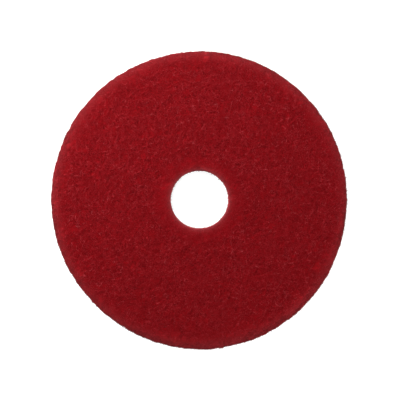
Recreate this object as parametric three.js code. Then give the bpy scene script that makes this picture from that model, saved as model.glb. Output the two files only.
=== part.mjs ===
// A round floor pad for a rotary floor machine: one disc of non-woven fibre
// web with a round centre hole. Millimetres, +Z up, the origin at the centre
// of the underside.

import * as THREE from "three";

// Driving dimensions.
const PAD_DIAMETER = 432; // a 17 inch pad
const HOLE_DIAMETER = 84.4; // the common centre hole of floor pads
const PAD_THICKNESS = 25.4; // 1 inch
// How far the cut edges are rounded, across the faces and down the walls.
const RIM_EDGE = { across: 14, down: 3 };
const HOLE_EDGE = { across: 8, down: 1.5 };

// Fineness of the faceted shape.
const TURN_SEGMENTS = 96; // a multiple of 4, so the box is the true diameter
const ARC_SEGMENTS = 4; // per rounded edge

const PAD_COLOUR = new THREE.Color().setRGB(0.49, 0.075, 0.095, THREE.SRGBColorSpace);

// Points on a quarter of an ellipse about (centreRadius, centreHeight), going
// anticlockwise from startAngle in the plane of radius and height.
function roundedEdge(edge, centreRadius, centreHeight, startAngle) {
  const points = [];
  for (let i = 0; i <= ARC_SEGMENTS; i++) {
    const angle = startAngle + (Math.PI / 2) * (i / ARC_SEGMENTS);
    points.push(
      new THREE.Vector2(
        centreRadius + edge.across * Math.cos(angle),
        centreHeight + edge.down * Math.sin(angle),
      ),
    );
  }
  return points;
}

// The pad's cross-section: a long flat rectangle with four rounded corners,
// which closes on its first point.
function padProfile() {
  const rim = PAD_DIAMETER / 2 - RIM_EDGE.across;
  const hole = HOLE_DIAMETER / 2 + HOLE_EDGE.across;
  const profile = [
    ...roundedEdge(RIM_EDGE, rim, RIM_EDGE.down, -Math.PI / 2),
    ...roundedEdge(RIM_EDGE, rim, PAD_THICKNESS - RIM_EDGE.down, 0),
    ...roundedEdge(HOLE_EDGE, hole, PAD_THICKNESS - HOLE_EDGE.down, Math.PI / 2),
    ...roundedEdge(HOLE_EDGE, hole, HOLE_EDGE.down, Math.PI),
  ];
  profile.push(profile[0].clone());
  return profile;
}

// The pad: the cross-section turned about the vertical axis.
function floorPad() {
  const geometry = new THREE.LatheGeometry(padProfile(), TURN_SEGMENTS);
  const material = new THREE.MeshStandardMaterial({
    color: PAD_COLOUR,
    roughness: 0.95,
    metalness: 0,
  });
  const mesh = new THREE.Mesh(geometry, material);
  mesh.name = "floor_pad";
  mesh.rotation.x = Math.PI / 2; // the lathe turns about Y, and the pad about Z
  return mesh;
}

const group = new THREE.Group();
group.add(floorPad());

export default group;
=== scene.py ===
"""The looks of a round floor pad: one thick disc of red non-woven web with a round centre hole.

The web's body is one closed mesh, as lumpy as the real web. The open fibre of its skin is made of
strands: crimped tubes that wander over the body, dip into it and stand proud of its cut edges.
"""

import math

import bpy
import numpy as np
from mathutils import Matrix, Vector


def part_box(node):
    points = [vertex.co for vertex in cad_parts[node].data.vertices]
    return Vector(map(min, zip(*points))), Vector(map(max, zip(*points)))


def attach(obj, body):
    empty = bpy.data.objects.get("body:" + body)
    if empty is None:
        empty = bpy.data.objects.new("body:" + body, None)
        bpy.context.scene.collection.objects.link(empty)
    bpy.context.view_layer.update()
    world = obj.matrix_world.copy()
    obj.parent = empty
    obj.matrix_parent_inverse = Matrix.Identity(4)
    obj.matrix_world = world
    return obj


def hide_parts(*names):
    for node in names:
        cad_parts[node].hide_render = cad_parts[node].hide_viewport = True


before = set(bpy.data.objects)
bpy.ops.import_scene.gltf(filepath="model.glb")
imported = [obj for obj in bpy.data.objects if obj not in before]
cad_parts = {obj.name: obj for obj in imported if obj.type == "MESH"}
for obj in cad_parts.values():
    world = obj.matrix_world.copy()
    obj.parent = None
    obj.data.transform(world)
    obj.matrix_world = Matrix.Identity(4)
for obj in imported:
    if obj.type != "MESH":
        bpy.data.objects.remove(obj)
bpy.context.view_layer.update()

# ---- sizes, in metres ----
MM = 0.001
low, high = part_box("floor_pad")
RIM_RADIUS = (high.x - low.x) / 2
THICKNESS = high.z - low.z
HALF = THICKNESS / 2
HOLE_RADIUS = min(math.hypot(v.co.x, v.co.y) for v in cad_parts["floor_pad"].data.vertices)

# How far the body lies inside the pad's size, to leave room for strands: under the faces, in the rim's
# wall and in the hole's.
SKIN_DEPTH, RIM_DEPTH, HOLE_DEPTH = 0.9 * MM, 1.2 * MM, 0.65 * MM

# How far the cut edges are rounded, across the faces and down the walls.
RIM_ROUND, RIM_DROP = 14 * MM, 3 * MM
HOLE_ROUND, HOLE_DROP = 8 * MM, 1.5 * MM

# The faces fall away gently towards the rim.
CROWN_START, CROWN_DROP = 140 * MM, 1 * MM

# What makes the skin uneven: how wide each thing is, how deep, and the seed of its noise.
LUMP, LUMP_DEPTH, LUMP_SEED = 16 * MM, 0.22 * MM, 1
TUFT, TUFT_DEPTH, TUFT_SEED = 5 * MM, 0.24 * MM, 2
PIT, PIT_DEPTH, PIT_SEED = 2.8 * MM, 0.95 * MM, 3
LAYER, LAYER_DEPTH, LAYER_SEED = 2.2 * MM, 0.45 * MM, 4
PIT_STEEPNESS, PIT_RARITY = 2, 0.3
LAYER_STRETCH = (0.16, 0.16, 1.0)  # the web's layers lie flat, and show on its cut walls
BRIDGED = 0.35  # the share of a pit's depth that a strand across it follows

# The web is open and speckled, but evener a little inside its two cut edges: its share of the full
# unevenness at some radii.
# In colour, evenness there means less painted shade, as the rounded edges face the lights.
UNEVEN_RADII = np.array([44, 49, 68, 190, 206, 213]) * MM
UNEVEN_SHARES = (1.0, 0.4, 1.0, 1.0, 0.7, 1.0)

# The web is paled at its edges, as a painted glow round the hole's edge and a painted sheen along the
# rim's, partly frayed fibre there: how much at the edges of the hole and the rim, how far in across the
# faces, and how far down the walls.
HOLE_GLOW_AND_FRAY, HOLE_GLOW_REACH = 0.85, 3 * MM
RIM_SHEEN_AND_FRAY, RIM_SHEEN_REACH = 0.3, 11 * MM
GLOW_REACH_DOWN_WALLS = 8 * MM

# How the die-cut rim strays from a true circle: waves round it, their depth, and where one of them is
# at its highest, in degrees. These numbers are from a fit of waves to the photo's outline.
RIM_WANDER = ((1, 0.75 * MM, -86), (2, 0.9 * MM, 103), (3, 0.63 * MM, 51), (6, 0.25 * MM, 20))

# How ragged the cut is: the size of its teeth, their depth, and how far in from the rim they reach.
RAG, RAG_DEPTH, RAG_REACH, RAG_SEED = 6.5 * MM, 0.45 * MM, 12 * MM, 5

ARC_POINTS, FACE_POINTS = 24, 300  # of the outline
FINE_STEP = 0.25 * MM  # between the points that the outline is worked out at
TILT_BLUR = 4  # fine steps to either side that the skin's tilt is averaged over
BODY_SPACING = 1.78 * MM  # between the points of the body's mesh

STRAND_SIDES = 3  # so that one triangle closes each end
TUCK_LENGTH, TUCK_DEPTH = 3 * MM, 0.9 * MM  # how a strand dips at both ends: from how far, and how deep
OWN_RIDE = 0.65  # the share of a strand's rise that it keeps all along; it weaves through the rest
WEAVE_RATE = (0.5, 1.4)  # how often it weaves, to each wave of its crimp
NECK, NECK_LENGTH, NECK_SEED = 0.25, 1.7 * MM, 9  # how a strand's thickness varies along it
WALL_LAP, CUT_LAP = 2 * MM, 3 * MM  # how far a wall's strands and its cut ends reach over onto the faces

SEED = 17


# ---- smooth noise ----
def scatter(cells, seed):
    """A fixed random number from -1 to 1 for each cell of a grid."""
    mixed = cells @ np.array([73856093, 19349663, 83492791]) + seed * 2654435761
    mixed = (mixed ^ (mixed >> 13)) * 1274126177
    mixed = (mixed ^ (mixed >> 16)) * 2246822519
    return ((mixed >> 12) & 0xFFFFF) / 0x7FFFF - 1


def noise(points, lump, seed):
    """Smooth noise from -1 to 1 at points, with lumps of about that size."""
    place = points / lump
    corner = np.floor(place).astype(np.int64)
    share = place - corner
    share = share * share * (3 - 2 * share)
    total = np.zeros(points.shape[:-1])
    for step in np.ndindex(2, 2, 2):
        near = np.where(step, share, 1 - share).prod(-1)
        total += near * scatter(corner + step, seed)
    return total


# ---- the skin: a closed outline of radius and height, turned about the axis ----
def quarter(centre_radius, centre_height, across, up, start, end):
    """Points on a quarter of an ellipse."""
    angle = np.linspace(start, end, ARC_POINTS)
    return np.stack(
        [centre_radius + across * np.cos(angle), centre_height + up * np.sin(angle)], axis=1
    )


def outline():
    """The web's cross-section, with heights from its middle: from the middle of the hole's wall over the
    top, down the rim and back underneath."""
    hole = HOLE_RADIUS + HOLE_DEPTH
    rim = RIM_RADIUS - RIM_DEPTH
    top = HALF - SKIN_DEPTH
    radii = np.linspace(hole + HOLE_ROUND, rim - RIM_ROUND, FACE_POINTS)
    fall = np.clip((radii - CROWN_START) / (rim - CROWN_START), 0, None) ** 2 * CROWN_DROP
    face = np.stack([radii, top - fall], axis=1)
    rim_height = face[-1, 1] - RIM_DROP
    upper = np.concatenate(
        [
            quarter(hole + HOLE_ROUND, top - HOLE_DROP, HOLE_ROUND, HOLE_DROP, math.pi, math.pi / 2),
            face[1:-1],
            quarter(rim - RIM_ROUND, rim_height, RIM_ROUND, RIM_DROP, math.pi / 2, 0),
        ]
    )
    lower = upper[::-1] * (1, -1)
    return np.concatenate([[[hole, 0]], upper, [[rim, 0]], lower, [[hole, 0]]])


def smooth_round(values, width):
    """Values round a closed line, averaged over width of them on either side."""
    return sum(np.roll(values, k) for k in range(-width, width + 1)) / (2 * width + 1)


OUTLINE = outline()
STEPS = np.linalg.norm(np.diff(OUTLINE, axis=0), axis=1)
ALONG = np.concatenate([[0], np.cumsum(STEPS)])
GIRTH = ALONG[-1]
FINE = np.arange(0, GIRTH, FINE_STEP)
RADIUS_AT = np.interp(FINE, ALONG, OUTLINE[:, 0])
HEIGHT_AT = np.interp(FINE, ALONG, OUTLINE[:, 1])
TILT_OUT = smooth_round(-np.gradient(HEIGHT_AT), TILT_BLUR)
TILT_UP = smooth_round(np.gradient(RADIUS_AT), TILT_BLUR)


def on_outline(values, along):
    """Values that are given at the fine steps, read at places along the outline."""
    return np.interp(along % GIRTH, FINE, values, period=GIRTH)


def along_where(radius, height):
    """How far along the outline the point nearest a radius and a height is."""
    return FINE[np.argmin(np.hypot(RADIUS_AT - radius, HEIGHT_AT - height))]


# The stretches of the outline that are its faces.
TOP = (along_where(HOLE_RADIUS, HALF), along_where(RIM_RADIUS, HALF))
BOTTOM = (along_where(RIM_RADIUS, -HALF), along_where(HOLE_RADIUS, -HALF))


def wall_stretches(lap):
    """The rim's wall, and the upper and lower halves of the hole's, each with a lap onto the faces."""
    rim = (TOP[1] - lap, BOTTOM[0] + lap)
    hole_upper = (0, TOP[0] + lap)
    hole_lower = (BOTTOM[1] - lap, GIRTH)
    return rim, hole_upper, hole_lower


def wander(radius, turn):
    """How far the web strays outwards at a turn. The hole is true, and the stray grows towards the rim."""
    share = np.clip((radius - RIM_RADIUS / 2) / (RIM_RADIUS / 2), 0, 1) ** 2
    rim = RIM_RADIUS * np.stack([np.cos(turn), np.sin(turn), np.zeros_like(turn)], axis=-1)
    ragged = noise(rim, RAG, RAG_SEED) + noise(rim, RAG / 2, RAG_SEED + 1)
    ragged *= RAG_DEPTH * np.clip(1 + (radius - RIM_RADIUS) / RAG_REACH, 0, 1)
    stray = sum(
        depth * np.cos(waves * (turn - math.radians(highest))) for waves, depth, highest in RIM_WANDER
    )
    return share * stray + ragged


def unevenness(radius):
    """The share of the web's full unevenness at a radius."""
    return np.interp(radius, UNEVEN_RADII, UNEVEN_SHARES)


def paleness(radius, height):
    """How far the web is paled at a radius and a height: most at its four edges. The paling is a painted
    glow at the hole and a painted sheen at the rim, partly frayed fibre.
    """
    at_hole = HOLE_GLOW_AND_FRAY * np.exp((HOLE_RADIUS - radius) / HOLE_GLOW_REACH)
    inside_rim = np.clip(RIM_RADIUS - radius, 0, None)
    at_rim = RIM_SHEEN_AND_FRAY * np.exp(-(inside_rim / RIM_SHEEN_REACH) ** 2)
    from_face = np.minimum(height, THICKNESS - height)
    down_wall = np.exp(-(from_face / GLOW_REACH_DOWN_WALLS) ** 2)
    return np.minimum(at_hole + at_rim, 1) * down_wall


def place(along, turn, lift, pitted=BRIDGED):
    """Points at a lift above the uneven skin, and the directions that point out of it there.
    pitted is the share of the pits' depth that they follow."""
    radius, height = on_outline(RADIUS_AT, along), on_outline(HEIGHT_AT, along)
    out, up = on_outline(TILT_OUT, along), on_outline(TILT_UP, along)
    size = np.hypot(out, up)
    outward = np.stack([out * np.cos(turn), out * np.sin(turn), up], axis=-1) / size[..., None]
    pitted = pitted * unevenness(radius)
    radius = radius + wander(radius, turn)
    points = np.stack([radius * np.cos(turn), radius * np.sin(turn), height + HALF], axis=-1)
    pits = np.clip(noise(points, PIT, PIT_SEED) * PIT_STEEPNESS - PIT_RARITY, 0, 1)
    layers = noise(points * LAYER_STRETCH, LAYER, LAYER_SEED)
    uneven = LUMP_DEPTH * noise(points, LUMP, LUMP_SEED) + TUFT_DEPTH * noise(points, TUFT, TUFT_SEED)
    uneven -= PIT_DEPTH * pitted * pits
    uneven += LAYER_DEPTH * np.abs(out / size) ** 2 * layers
    return points + outward * (uneven + lift)[..., None], outward


# ---- meshes ----
def mesh_object(name, vertices, faces, **attributes):
    """A smooth-shaded object from vertices and arrays of faces, with named numbers at its vertices."""
    corners = np.concatenate([f.reshape(-1) for f in faces])
    counts = np.concatenate([np.full(len(f), f.shape[1]) for f in faces])
    starts = np.concatenate([[0], np.cumsum(counts)[:-1]])
    mesh = bpy.data.meshes.new(name)
    mesh.vertices.add(len(vertices))
    mesh.vertices.foreach_set("co", vertices.astype(np.float32).reshape(-1))
    mesh.loops.add(len(corners))
    mesh.loops.foreach_set("vertex_index", corners.astype(np.int32))
    mesh.polygons.add(len(counts))
    mesh.polygons.foreach_set("loop_start", starts.astype(np.int32))
    mesh.polygons.foreach_set("use_smooth", np.ones(len(counts), bool))
    radius = np.hypot(vertices[:, 0], vertices[:, 1])
    # The web's paling at its edges is a painted glow and sheen, partly frayed fibre.
    attributes.update(uneven=unevenness(radius), pale=paleness(radius, vertices[:, 2]))
    for label, values in attributes.items():
        layer = mesh.attributes.new(label, "FLOAT", "POINT")
        layer.data.foreach_set("value", values.astype(np.float32))
    mesh.update(calc_edges=True)
    mesh.validate()
    piece = bpy.data.objects.new(name, mesh)
    bpy.context.scene.collection.objects.link(piece)
    return piece


def zip_rings(first, second, first_count, second_count):
    """Triangles between two rings of points, each given by its first point's index and its count."""
    faces = []
    i = j = 0
    while i < first_count or j < second_count:
        here, across = first + i % first_count, second + j % second_count
        first_is_behind = (i + 1) * second_count <= (j + 1) * first_count
        if j == second_count or (i < first_count and first_is_behind):
            i += 1
            faces.append((here, across, first + i % first_count))
        else:
            j += 1
            faces.append((here, across, second + j % second_count))
    return faces


def web_body():
    """The body of the web: rings of points round the pad, each with as many as its radius needs."""
    rings = round(GIRTH / BODY_SPACING)
    vertices, faces, starts, counts = [], [], [], []
    total = 0
    for k in range(rings):
        along = GIRTH * k / rings
        count = round(2 * math.pi * float(on_outline(RADIUS_AT, along)) / BODY_SPACING)
        turn = 2 * math.pi * np.arange(count) / count
        points, _ = place(np.full(count, along), turn, np.zeros(count), pitted=1)
        vertices.append(points)
        starts.append(total)
        counts.append(count)
        total += count
    for k in range(rings):
        after = (k + 1) % rings
        faces += zip_rings(starts[k], starts[after], counts[k], counts[after])
    return mesh_object("web_body", np.concatenate(vertices), [np.array(faces)])


def tubes(name, paths, outward, radii, tone):
    """Closed three-sided tubes along paths: strands by points by XYZ, with a radius at each point."""
    count, steps, _ = paths.shape
    tangent = np.gradient(paths, axis=1)
    tangent /= np.linalg.norm(tangent, axis=-1, keepdims=True)
    side = np.cross(tangent, outward)
    side /= np.linalg.norm(side, axis=-1, keepdims=True)
    up = np.cross(side, tangent)
    edges = [
        paths + radii[..., None] * (math.cos(a) * side + math.sin(a) * up)
        for a in 2 * math.pi * np.arange(STRAND_SIDES) / STRAND_SIDES
    ]
    vertices = np.stack(edges, axis=2)
    strand = np.arange(count)[:, None, None] * steps * STRAND_SIDES
    ring = np.arange(steps - 1)[None, :, None] * STRAND_SIDES
    corner = np.arange(STRAND_SIDES)[None, None, :]
    here = strand + ring + corner
    beside = strand + ring + (corner + 1) % STRAND_SIDES
    walls = np.stack([here, beside, beside + STRAND_SIDES, here + STRAND_SIDES], axis=-1).reshape(-1, 4)
    starts = np.arange(count)[:, None] * steps * STRAND_SIDES
    ends = starts + (steps - 1) * STRAND_SIDES
    caps = np.concatenate([starts + [2, 1, 0], ends + [0, 1, 2]])
    tones = np.repeat(tone, steps * STRAND_SIDES)
    return mesh_object(name, vertices.reshape(-1, 3), [walls, caps], tone=tones)


# ---- strands ----
# Kinds of strand. step is the spacing of a strand's points, radius its thickness, wave the length of its
# crimp and swing how far its heading turns in it, bend how sharply it curves as a whole (per metre), rise
# how high it rides at most above the body, and astray how far in radians it sets out from running round
# the pad, or None if it may set out any way.
WEB = {
    "length": 42 * MM,
    "step": 1.4 * MM,
    "radius": (0.15 * MM, 0.24 * MM),
    "wave": (7 * MM, 13 * MM),
    "swing": (0.6, 1.4),
    "bend": 45,
    "rise": 0.75 * MM,
    "tone": (0.14, 0.70),
    "astray": None,
}
CURL = {
    "length": 8 * MM,
    "step": 0.8 * MM,
    "radius": (0.20 * MM, 0.30 * MM),
    "wave": (4 * MM, 8 * MM),
    "swing": (0.4, 1.2),
    "bend": 380,
    "rise": 1.0 * MM,
    # light tones: painted glints on the curls that lie on the web
    "tone": (0.58, 0.86),
    "astray": None,
}
WALL = {
    "length": 26 * MM,
    "step": 1.2 * MM,
    "radius": (0.14 * MM, 0.22 * MM),
    "wave": (6 * MM, 12 * MM),
    "swing": (0.3, 0.8),
    "bend": 12,
    "rise": 0.8 * MM,
    # low tones: painted shade on the walls
    "tone": (-0.2, 0.4),
    "astray": 0.6,
}

# A cut end begins up to root deep in the body, and leans over further by bend per metre. length is the
# longest one's, shortest the share of it that the shortest has, and taper the share of its thickness
# left at its tip.
CUT_END = {
    "length": 3.8 * MM,
    "shortest": 0.3,
    "points": 5,
    "root": 0.9 * MM,
    "lean": (0.2, 1.2),
    "bend": (-500, 900),
    "radius": (0.12 * MM, 0.19 * MM),
    "taper": 0.8,
    # low tones: painted shade on the cut walls
    "tone": (-0.3, 0.3),
}


def starts_between(rng, count, stretch):
    """Random places on a stretch of the outline, as many to each area."""
    chosen = (FINE >= stretch[0]) & (FINE <= stretch[1])
    weight = RADIUS_AT[chosen] / RADIUS_AT[chosen].sum()
    return rng.choice(FINE[chosen], count, p=weight) + rng.uniform(0, FINE_STEP, count)


def first_headings(rng, kind, count):
    """The ways in which strands set out."""
    if kind["astray"] is None:
        return rng.uniform(0, 2 * math.pi, (count, 1))
    return rng.choice([-1, 1], (count, 1)) * math.pi / 2 + rng.normal(0, kind["astray"], (count, 1))


def walk(along, turn, heading, step):
    """Where strands go that set out from places on the skin and take a step along each of their headings.
    A heading of 0 is along the outline, and a quarter turn is round the pad."""
    alongs, turns = [along], [turn]
    for k in range(heading.shape[1] - 1):
        along = along + step * np.cos(heading[:, k])
        turn = turn + step * np.sin(heading[:, k]) / on_outline(RADIUS_AT, along)
        alongs.append(along)
        turns.append(turn)
    return np.stack(alongs, axis=1), np.stack(turns, axis=1)


def strands(rng, name, kind, count, stretch):
    """Strands of a kind that wander over a stretch of the skin and dip at both ends."""
    steps = round(kind["length"] / kind["step"])
    travelled = np.arange(steps) * kind["step"]
    wave = rng.uniform(*kind["wave"], (count, 1))
    swing = rng.uniform(*kind["swing"], (count, 1))
    bend = rng.normal(0, kind["bend"], (count, 1))
    phase = rng.uniform(0, 2 * math.pi, (count, 1))
    crimp = swing * np.sin(2 * math.pi * travelled / wave + phase)
    heading = first_headings(rng, kind, count) + crimp + bend * travelled
    origin = starts_between(rng, count, stretch)
    along, turn = walk(origin, rng.uniform(0, 2 * math.pi, count), heading, kind["step"])

    ride = rng.uniform(0.0, 1, (count, 1))
    rate = rng.uniform(*WEAVE_RATE, (count, 1)) / wave
    weave = 0.5 + 0.5 * np.sin(2 * math.pi * travelled * rate + 2 * phase)
    from_end = np.minimum(travelled, travelled[-1] - travelled)
    tucked = TUCK_DEPTH * np.clip(1 - from_end / TUCK_LENGTH, 0, 1)
    lift = kind["rise"] * (OWN_RIDE * ride + (1 - OWN_RIDE) * weave) - tucked
    paths, outward = place(along, turn, lift)
    radius = rng.uniform(*kind["radius"], (count, 1)) * (1 + NECK * noise(paths, NECK_LENGTH, NECK_SEED))
    paths[..., 2] = np.maximum(paths[..., 2], radius)
    low_tone, high_tone = kind["tone"]
    # Half of the tone follows the strand's ride: strands that lie lower are darker, as painted shade.
    tone = low_tone + (high_tone - low_tone) * (0.5 * ride[:, 0] + 0.5 * rng.uniform(0, 1, count))
    return tubes(name, paths, outward, radius, tone)


def cut_ends(rng, name, count, stretch):
    """Short cut ends of fibres that stand out of a stretch of the skin, each bent its own way."""
    points = CUT_END["points"]
    along = starts_between(rng, count, stretch)[:, None]
    turn = rng.uniform(0, 2 * math.pi, (count, 1))
    length = rng.uniform(CUT_END["shortest"], 1, (count, 1)) * CUT_END["length"]
    travelled = np.linspace(0, 1, points) * length
    heading = rng.uniform(0, 2 * math.pi, (count, 1))
    lean = rng.uniform(*CUT_END["lean"], (count, 1))
    lean = lean + rng.uniform(*CUT_END["bend"], (count, 1)) * travelled
    step = length / (points - 1)
    aside = np.cumsum(step * np.sin(lean), axis=1)
    height = np.cumsum(step * np.cos(lean), axis=1) - CUT_END["root"]
    alongs = along + aside * np.cos(heading)
    turns = turn + aside * np.sin(heading) / on_outline(RADIUS_AT, along)
    paths, outward = place(alongs, turns, height)
    radius = rng.uniform(*CUT_END["radius"], (count, 1)) * np.linspace(1, CUT_END["taper"], points)
    paths[..., 2] = np.maximum(paths[..., 2], radius)
    across = np.cross(outward, [0.31, 0.17, 0.94])  # crosses the ends, which point more or less outward
    return tubes(name, paths, across, radius, rng.uniform(*CUT_END["tone"], count))


def skin_strands():
    """All the bundles of strands, which share one run of random numbers."""
    rng = np.random.default_rng(SEED)
    bundles = [strands(rng, f"top_web_{k}", WEB, 1050, TOP) for k in range(1, 7)]
    bundles.append(strands(rng, "top_curls", CURL, 2600, TOP))
    bundles += [strands(rng, f"bottom_web_{k}", WEB, 1050, BOTTOM) for k in range(1, 4)]
    bundles.append(strands(rng, "bottom_curls", CURL, 2000, BOTTOM))
    rim, hole_upper, hole_lower = wall_stretches(WALL_LAP)
    bundles += [strands(rng, f"rim_web_{k}", WALL, 1450, rim) for k in range(1, 3)]
    bundles.append(strands(rng, "hole_web_upper", WALL, 320, hole_upper))
    bundles.append(strands(rng, "hole_web_lower", WALL, 320, hole_lower))
    rim, hole_upper, hole_lower = wall_stretches(CUT_LAP)
    bundles.append(cut_ends(rng, "rim_cut_ends", 7500, rim))
    bundles.append(cut_ends(rng, "hole_cut_ends_upper", 800, hole_upper))
    bundles.append(cut_ends(rng, "hole_cut_ends_lower", 600, hole_lower))
    return bundles


# ---- materials ----
# LIGHT_RED and PALE_RED hold more green and blue than the deeper reds: partly the lighter fibre's own tone,
# partly a painted sheen of white light on it. PALE_RED is also what the edges are paled towards.
DEEP_RED = (0.065, 0.0003, 0.0010)
DARK_RED = (0.135, 0.0003, 0.0016)
MID_RED = (0.205, 0.0012, 0.0038)
LIGHT_RED = (0.252, 0.0080, 0.0125)
PALE_RED = (0.328, 0.0410, 0.0480)

EVEN_TONE = 0.42  # where on the strands' ramp of reds the web is where it is even


def add(tree, kind, inputs=None, **settings):
    """A new node of a kind, with inputs given as values or as sockets to link."""
    made = tree.nodes.new(kind)
    for name, value in settings.items():
        setattr(made, name, value)
    for name, value in (inputs or {}).items():
        if isinstance(value, bpy.types.NodeSocket):
            tree.links.new(value, made.inputs[name])
        else:
            made.inputs[name].default_value = value
    return made


def calculate(tree, operation, *values):
    """The result of a maths node on values or sockets."""
    return add(tree, "ShaderNodeMath", dict(enumerate(values)), operation=operation).outputs[0]


def remap(tree, value, from_range, to_range, **settings):
    """A value moved from one range to another."""
    inputs = {"Value": value, "From Min": from_range[0], "From Max": from_range[1]}
    inputs.update({"To Min": to_range[0], "To Max": to_range[1]})
    return add(tree, "ShaderNodeMapRange", inputs, **settings).outputs["Result"]


def attribute(tree, label):
    """The number of that name at the mesh's vertices."""
    return add(tree, "ShaderNodeAttribute", attribute_name=label).outputs["Fac"]


def cloud(tree, place_at, scale, detail, distortion=0.0):
    """Noise with scale lumps to the metre."""
    inputs = {"Vector": place_at, "Scale": scale, "Detail": detail, "Distortion": distortion}
    return add(tree, "ShaderNodeTexNoise", inputs).outputs["Fac"]


def ramp(tree, factor, *stops):
    """A colour ramp through (position, colour) stops."""
    made = add(tree, "ShaderNodeValToRGB", {"Fac": factor})
    elements = made.color_ramp.elements
    while len(elements) < len(stops):
        elements.new(0.5)
    for element, (position, colour) in zip(elements, stops):
        element.position = position
        element.color = (*colour, 1)
    return made.outputs["Color"]


def new_material(name):
    """A node material, its tree and its shader."""
    material = bpy.data.materials.new(name)
    material.use_nodes = True
    return material, material.node_tree, material.node_tree.nodes["Principled BSDF"]


def fibre_shader(shader):
    """What every part of the web shares: dull, resin-coated fibre with a faint fuzz at grazing angles."""
    shader.inputs["Specular IOR Level"].default_value = 0.05
    shader.inputs["Sheen Weight"].default_value = 0.03
    shader.inputs["Sheen Roughness"].default_value = 0.45
    shader.inputs["Sheen Tint"].default_value = (1.0, 0.45, 0.45, 1)


def paled(tree, colour):
    """A colour mixed with the pale red as much as the web is paled there: a painted glow and sheen at the
    edges, partly frayed fibre.
    """
    inputs = {"Fac": attribute(tree, "pale"), "Color1": colour, "Color2": (*PALE_RED, 1)}
    return add(tree, "ShaderNodeMixRGB", inputs).outputs["Color"]


def crossing_lines(tree, place_at, count, scale):
    """Thin curly lines that cross each other, from 0 between them to 1 on them: where noise passes its
    middle."""
    lines = None
    for k in range(count):
        shift = (3.1 * k, 7.7 * k, 1.3 * k)
        moved = add(tree, "ShaderNodeVectorMath", {0: place_at, 1: shift}, operation="ADD")
        field = cloud(tree, moved.outputs[0], scale * (1 + 0.17 * k), 1.0, distortion=0.4)
        off = calculate(tree, "ABSOLUTE", calculate(tree, "SUBTRACT", field, 0.5))
        line = remap(tree, off, (0.0, 0.05), (1.0, 0.0), interpolation_type="SMOOTHSTEP")
        lines = line if lines is None else calculate(tree, "MAXIMUM", lines, line)
    return lines


def body_material():
    """The web between the strands: dark, as painted shade in the hollows of the web, but lighter where the
    web is even, with fine fibres drawn on it that also stand out a little.
    """
    material, tree, shader = new_material("web_body")
    fibre_shader(shader)
    place_at = add(tree, "ShaderNodeTexCoord").outputs["Object"]
    lines = crossing_lines(tree, place_at, 4, 330)
    mottle = cloud(tree, place_at, 130.0, 3.0)
    blend = calculate(tree, "MULTIPLY_ADD", mottle, 0.6, calculate(tree, "MULTIPLY", lines, 0.45))
    fade = remap(tree, attribute(tree, "uneven"), (0.0, 1.0), (0.5, 0.0))
    blend = calculate(tree, "ADD", blend, fade)
    # Its deep and dark reds are painted shade in the web's hollows.
    colour = ramp(tree, blend, (0.15, DEEP_RED), (0.5, DARK_RED), (0.85, MID_RED))
    tree.links.new(paled(tree, colour), shader.inputs["Base Color"])
    tree.links.new(remap(tree, mottle, (0.0, 1.0), (0.95, 0.7)), shader.inputs["Roughness"])
    bump = add(tree, "ShaderNodeBump", {"Height": lines, "Strength": 0.6, "Distance": 0.5 * MM})
    tree.links.new(bump.outputs["Normal"], shader.inputs["Normal"])
    return material


def strand_material():
    """Each strand has its tone, half of it set by how high it rides, so that lower strands are darker as
    painted shade, and resin and dye mottle it. Both fade to one tone where the web is even.
    """
    material, tree, shader = new_material("web_strands")
    fibre_shader(shader)
    place_at = add(tree, "ShaderNodeTexCoord").outputs["Object"]
    mottle = cloud(tree, place_at, 680.0, 1.0)
    spread = remap(tree, mottle, (0.25, 0.75), (-0.71, -0.13))
    stray = calculate(tree, "ADD", attribute(tree, "tone"), spread)
    blend = calculate(tree, "MULTIPLY_ADD", stray, attribute(tree, "uneven"), EVEN_TONE)
    colour = ramp(
        tree,
        blend,
        (0.0, DEEP_RED),
        (0.2, DARK_RED),
        (0.42, MID_RED),
        (0.7, LIGHT_RED),
        (0.95, PALE_RED),
    )
    tree.links.new(paled(tree, colour), shader.inputs["Base Color"])
    tree.links.new(remap(tree, mottle, (0.0, 1.0), (0.75, 0.5)), shader.inputs["Roughness"])
    return material


# ---- the pad ----
body = web_body()
body.data.materials.append(body_material())
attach(body, "root")
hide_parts("floor_pad")

fibre = strand_material()
for piece in skin_strands():
    piece.data.materials.append(fibre)
    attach(piece, "root")


# ---- floor, light and camera ----
FLOOR_REACH, FLOOR_GREY, FLOOR_GLOW = 4.0, 0.3, 0.92
LIGHT_DISTANCE = 1.0
WALLS_END, CEILING_START = 0.25, 0.6  # heights on a sphere around the pad
PAD_SHARE_OF_VIEW = 0.7408
LENS, SENSOR = 100, 36  # mm
OFF_AXIS = (0.8 * MM, -0.6 * MM)  # how far the camera stands off the pad's axis


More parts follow.
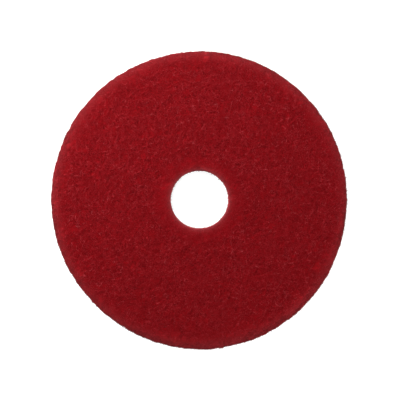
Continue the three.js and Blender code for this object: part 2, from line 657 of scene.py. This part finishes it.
def floor():
    """A flat floor, which glows so that it is pure white in the picture, as in the photo."""
    corners = [(x * FLOOR_REACH, y * FLOOR_REACH, 0) for x, y in ((-1, -1), (1, -1), (1, 1), (-1, 1))]
    mesh = bpy.data.meshes.new("floor")
    mesh.from_pydata(corners, [], [(0, 1, 2, 3)])
    piece = bpy.data.objects.new("floor", mesh)
    bpy.context.scene.collection.objects.link(piece)
    material, _, shader = new_material("floor")
    shader.inputs["Base Color"].default_value = (FLOOR_GREY, FLOOR_GREY, FLOOR_GREY, 1)
    shader.inputs["Roughness"].default_value = 0.9
    shader.inputs["Emission Color"].default_value = (1, 1, 1, 1)
    shader.inputs["Emission Strength"].default_value = FLOOR_GLOW
    piece.data.materials.append(material)


def soft_light(name, turn, rise, size, power):
    """A square soft box that faces the pad. turn is its direction round the pad and rise its height over
    the floor, both in degrees."""
    data = bpy.data.lights.new(name, "AREA")
    data.size = size
    data.energy = power
    lamp = bpy.data.objects.new(name, data)
    lamp.rotation_euler = (math.radians(90 - rise), 0, math.radians(turn + 90))
    lamp.location = lamp.rotation_euler.to_matrix() @ Vector((0, 0, LIGHT_DISTANCE))
    lamp.visible_camera = False
    bpy.context.scene.collection.objects.link(lamp)


def surroundings(walls, ceiling):
    """A tent of white cloth. walls and ceiling are how bright it is there."""
    world = bpy.data.worlds.new("studio")
    bpy.context.scene.world = world
    world.use_nodes = True
    tree = world.node_tree
    backdrop = tree.nodes["Background"]
    backdrop.inputs["Color"].default_value = (1, 1, 1, 1)
    way = add(tree, "ShaderNodeTexCoord").outputs["Generated"]
    up = add(tree, "ShaderNodeSeparateXYZ", {"Vector": way}).outputs["Z"]
    glow = remap(tree, up, (WALLS_END, CEILING_START), (walls, ceiling))
    tree.links.new(glow, backdrop.inputs["Strength"])


def camera():
    """Straight above the pad, with +Y up the picture."""
    data = bpy.data.cameras.new("camera")
    data.lens = LENS
    data.sensor_width = SENSOR
    data.clip_end = 20
    view_width = 2 * RIM_RADIUS / PAD_SHARE_OF_VIEW
    eye = bpy.data.objects.new("camera", data)
    eye.location = (*OFF_AXIS, HALF + view_width * LENS / SENSOR)
    bpy.context.scene.collection.objects.link(eye)
    bpy.context.scene.camera = eye


floor()
soft_light("upper_left", 135, 32, 1.0, 34)
soft_light("low_right", 320, 12, 0.7, 10)
soft_light("low_upper_right", 50, 12, 0.5, 6.5)
surroundings(1.0, 0.3)
camera()
bpy.context.scene.view_settings.view_transform = "Standard"
